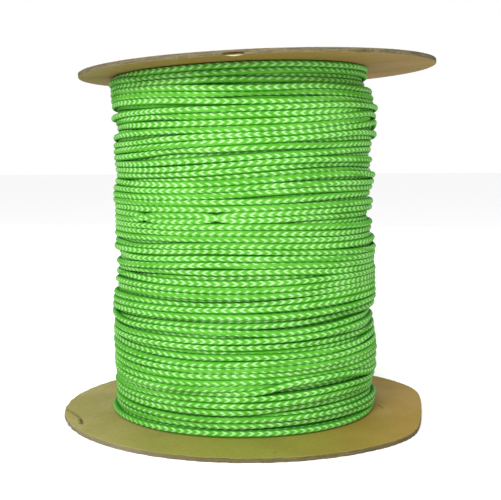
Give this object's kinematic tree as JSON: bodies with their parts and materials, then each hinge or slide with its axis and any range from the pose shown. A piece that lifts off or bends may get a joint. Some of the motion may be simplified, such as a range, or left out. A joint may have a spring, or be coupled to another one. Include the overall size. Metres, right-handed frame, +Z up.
{
  "type": "fishing line spool",
  "caption": "Spool of braided line: chipboard discs stapled to the plugged ends of a paper core, cross-wound full with thick two-colour cord.",
  "frame": {"origin": "centre of the lower disc's underside, on the core's axis", "axes": "+Z up the core's axis to the upper disc, +X towards the crushed side of the lower disc and the raised side of the upper disc"},
  "size_m": [0.2, 0.2032, 0.188],
  "materials": {
    "chipboard": "matte",
    "kraft_paper": "matte",
    "pine": "matte",
    "staple_steel": "satin",
    "braided_line": "satin"
  },
  "bodies": {
    "root": {"bottom_flange": "chipboard", "top_flange": "chipboard", "core_tube": "kraft_paper", "bottom_plug": "pine", "top_plug": "pine", "wound_line": "braided_line", "bottom_staple_1": "staple_steel", "bottom_staple_2": "staple_steel", "bottom_staple_3": "staple_steel", "bottom_staple_4": "staple_steel", "top_staple_1": "staple_steel", "top_staple_2": "staple_steel", "top_staple_3": "staple_steel", "top_staple_4": "staple_steel"}
  },
  "joints": []
}
